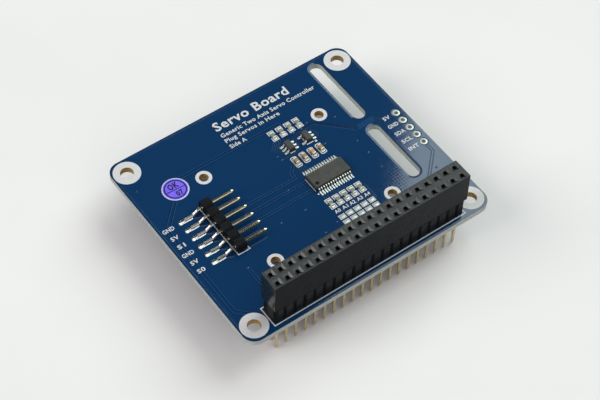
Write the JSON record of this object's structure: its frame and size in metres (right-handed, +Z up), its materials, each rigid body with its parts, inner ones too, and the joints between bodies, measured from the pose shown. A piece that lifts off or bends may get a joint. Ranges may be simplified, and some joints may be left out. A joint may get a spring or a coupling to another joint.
{
  "type": "pan-tilt servo driver board",
  "caption": "Rounded rectangular circuit board that drives a pan-tilt mount's servos, with a tall stacking socket, a flat-lying servo header, cable slots and corner mounting holes.",
  "frame": {"origin": "centre of the circuit board's flat underside", "axes": "+X along the stacking socket and the board's long side, +Y across the board away from the socket, +Z up out of the component side"},
  "size_m": [0.065, 0.0564, 0.0246],
  "materials": {
    "solder_mask": "glossy blue lacquer over glass-fibre board",
    "board_edge": "routed glass-fibre edge",
    "legend_white": "printed white legend",
    "black_plastic": "moulded, fine satin grain",
    "chip_plastic": "matt moulded epoxy",
    "gold_plate": "pale gold plating",
    "solder_tin": "bright solder and tin plating",
    "resistor_ceramic": "dark glaze between bright end caps",
    "capacitor_ceramic": "tan ceramic between bright end caps",
    "sticker": "satin printed label"
  },
  "bodies": {
    "root": {"circuit_board": "solder_mask", "socket_housing": "black_plastic", "spacer_strip_upper": "black_plastic", "spacer_strip_lower": "black_plastic", "contact_01": "gold_plate", "contact_02": "gold_plate", "contact_03": "gold_plate", "contact_04": "gold_plate", "contact_05": "gold_plate", "contact_06": "gold_plate", "contact_07": "gold_plate", "contact_08": "gold_plate", "contact_09": "gold_plate", "contact_10": "gold_plate", "contact_11": "gold_plate", "contact_12": "gold_plate", "contact_13": "gold_plate", "contact_14": "gold_plate", "contact_15": "gold_plate", "contact_16": "gold_plate", "contact_17": "gold_plate", "contact_18": "gold_plate", "contact_19": "gold_plate", "contact_20": "gold_plate", "contact_21": "gold_plate", "contact_22": "gold_plate", "contact_23": "gold_plate", "contact_24": "gold_plate", "contact_25": "gold_plate", "contact_26": "gold_plate", "contact_27": "gold_plate", "contact_28": "gold_plate", "contact_29": "gold_plate", "contact_30": "gold_plate", "contact_31": "gold_plate", "contact_32": "gold_plate", "contact_33": "gold_plate", "contact_34": "gold_plate", "contact_35": "gold_plate", "contact_36": "gold_plate", "contact_37": "gold_plate", "contact_38": "gold_plate", "contact_39": "gold_plate", "contact_40": "gold_plate", "servo_header_housing": "black_plastic", "servo_pin_1": "gold_plate", "servo_pin_2": "gold_plate", "servo_pin_3": "gold_plate", "servo_pin_4": "gold_plate", "servo_pin_5": "gold_plate", "servo_pin_6": "gold_plate", "driver_chip": "chip_plastic", "level_shifter": "chip_plastic", "voltage_regulator": "chip_plastic", "pullup_resistor_row": "resistor_ceramic", "address_resistor_row": "resistor_ceramic", "capacitor_row": "capacitor_ceramic", "inspection_sticker": "sticker"}
  },
  "joints": []
}
